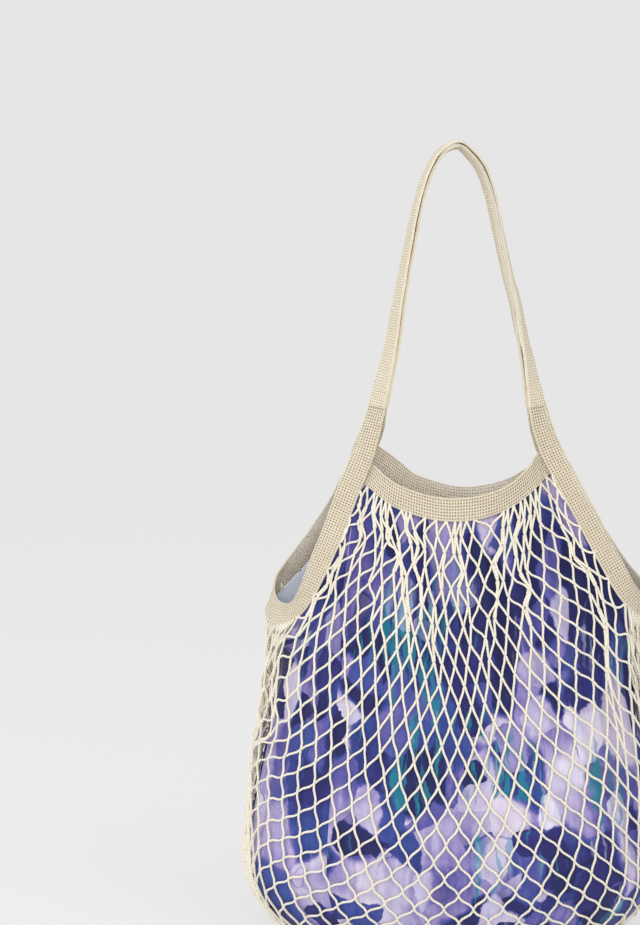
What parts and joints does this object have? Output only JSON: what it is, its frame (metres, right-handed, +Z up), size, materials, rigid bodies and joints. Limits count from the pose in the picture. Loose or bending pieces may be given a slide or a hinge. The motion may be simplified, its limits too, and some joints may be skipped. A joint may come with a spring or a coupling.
{
  "type": "string shopping bag with cloth lining",
  "caption": "Full upright shopping bag: a cotton net sack over a printed cloth sack, bound with openwork tape, with one raised loop handle.",
  "frame": {"origin": "on the ground, under the middle of the standing bag", "axes": "+Z up to the top of the handle, +X along the bag's width, its front faces -Y"},
  "size_m": [0.367, 0.173, 0.6882],
  "materials": {
    "net_cord": "matte twisted cotton cord",
    "printed_cloth": "matte printed cotton, pale on its wrong side",
    "tape": "matte openwork cotton tape"
  },
  "bodies": {
    "root": {"net": "net_cord", "lining": "printed_cloth", "front_mouth_band": "tape", "back_mouth_band": "tape", "left_side_band": "tape", "right_side_band": "tape", "front_handle": "tape", "back_handle": "tape"}
  },
  "joints": []
}
